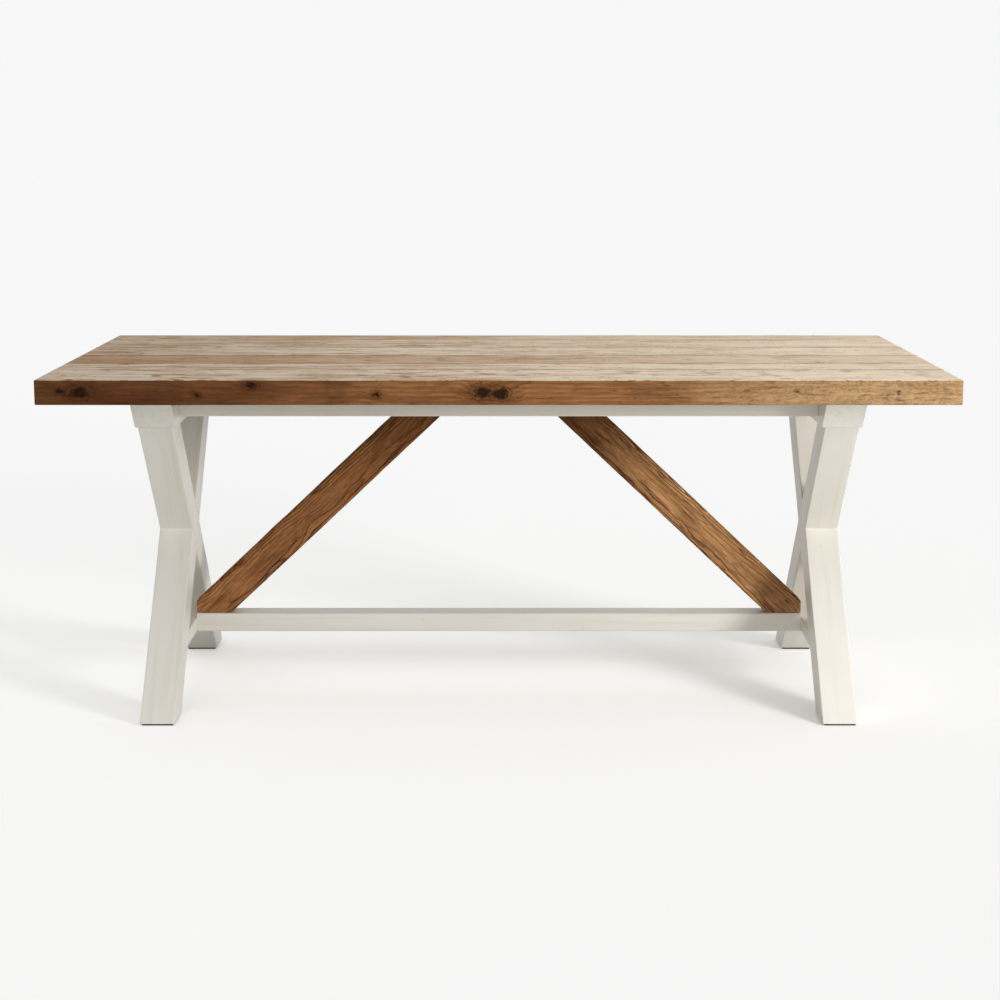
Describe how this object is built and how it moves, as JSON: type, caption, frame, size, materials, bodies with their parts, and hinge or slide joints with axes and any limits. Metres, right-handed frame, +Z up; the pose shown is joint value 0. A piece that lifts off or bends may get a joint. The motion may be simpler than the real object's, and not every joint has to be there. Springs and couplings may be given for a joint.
{
  "type": "sawbuck table",
  "caption": "Plank-top sawbuck dining table on cream-painted X-frame legs, tied by a low stretcher, aprons under the top and raking bare-wood braces.",
  "frame": {"origin": "on the floor, under the middle of the top", "axes": "+X along the table's length, +Y from its front to its rear, +Z up"},
  "size_m": [1.9, 0.95, 0.76],
  "materials": {
    "top_wood": "weathered solid boards, dry oiled, warmer brown on the sawn edges",
    "cream_paint": "cream paint over wood, eggshell, faint grain showing",
    "brace_wood": "bare brown wood with dark cathedral grain, matte",
    "inner_wood": "plain hardwood, unfinished, inside the joints",
    "steel": "zinc-plated steel",
    "glide_rubber": "matte dark rubber"
  },
  "bodies": {
    "root": {"apron_dowels": "inner_wood", "barrel_nuts": "steel", "board_tongue_1": "inner_wood", "board_tongue_2": "inner_wood", "board_tongue_3": "inner_wood", "board_tongue_4": "inner_wood", "board_tongue_5": "inner_wood", "brace_foot_screws": "steel", "centre_bearer": "cream_paint", "centre_bearer_dowels": "inner_wood", "front_apron": "cream_paint", "lap_dowels": "inner_wood", "left_bearer": "cream_paint", "left_brace": "brace_wood", "left_cross_rail": "cream_paint", "left_glide_front": "glide_rubber", "left_glide_rear": "glide_rubber", "left_leg_rising_front": "cream_paint", "left_leg_rising_rear": "cream_paint", "rear_apron": "cream_paint", "right_bearer": "cream_paint", "right_brace": "brace_wood", "right_cross_rail": "cream_paint", "right_glide_front": "glide_rubber", "right_glide_rear": "glide_rubber", "right_leg_rising_front": "cream_paint", "right_leg_rising_rear": "cream_paint", "stretcher": "cream_paint", "stretcher_bolts": "steel", "top_board_1": "top_wood", "top_board_2": "top_wood", "top_board_3": "top_wood", "top_board_4": "top_wood", "top_board_5": "top_wood", "top_board_6": "top_wood", "top_screws": "steel"}
  },
  "joints": []
}
